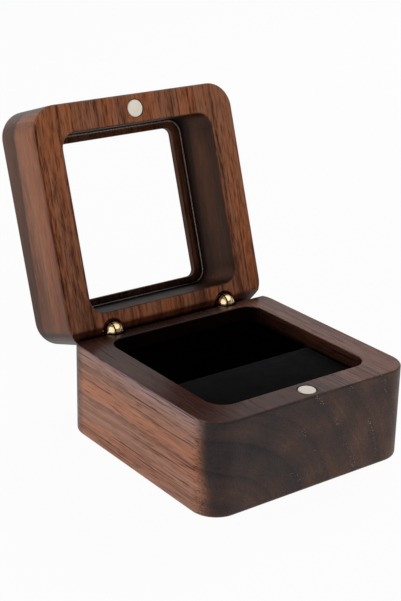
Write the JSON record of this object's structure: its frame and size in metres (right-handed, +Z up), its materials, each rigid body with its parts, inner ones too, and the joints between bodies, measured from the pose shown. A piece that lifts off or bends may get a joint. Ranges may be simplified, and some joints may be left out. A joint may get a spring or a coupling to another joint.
{
  "type": "ring display box",
  "caption": "Square walnut box with a cushioned ring slot and a hinged lid with a clear window, standing open.",
  "frame": {"origin": "middle of the base's underside", "axes": "+Z up, -Y towards the front where the lid's free edge shuts, +X along the hinge axis to the right"},
  "size_m": [0.06, 0.092, 0.0784],
  "materials": {
    "walnut": "satin",
    "brass": "polished",
    "nickel": "satin",
    "velvet": "matte",
    "foam": "matte",
    "card": "matte",
    "clear_pane": "polished"
  },
  "bodies": {
    "base": {"base_box": "walnut", "base_magnet": "nickel", "left_hinge_fork": "brass", "right_hinge_fork": "brass", "left_hinge_pin": "brass", "right_hinge_pin": "brass", "insert_card": "card", "front_foam": "foam", "rear_foam": "foam", "front_velvet": "velvet", "rear_velvet": "velvet"},
    "lid": {"lid_frame": "walnut", "window_pane": "clear_pane", "lid_magnet": "nickel", "left_hinge_tongue": "brass", "right_hinge_tongue": "brass"}
  },
  "joints": [
    {"name": "lid_hinge", "type": "hinge", "parent": "base", "child": "lid", "pos_m": [0, 0.0275, 0.02385], "axis": [1, 0, 0], "range_deg": [0, 108]}
  ]
}
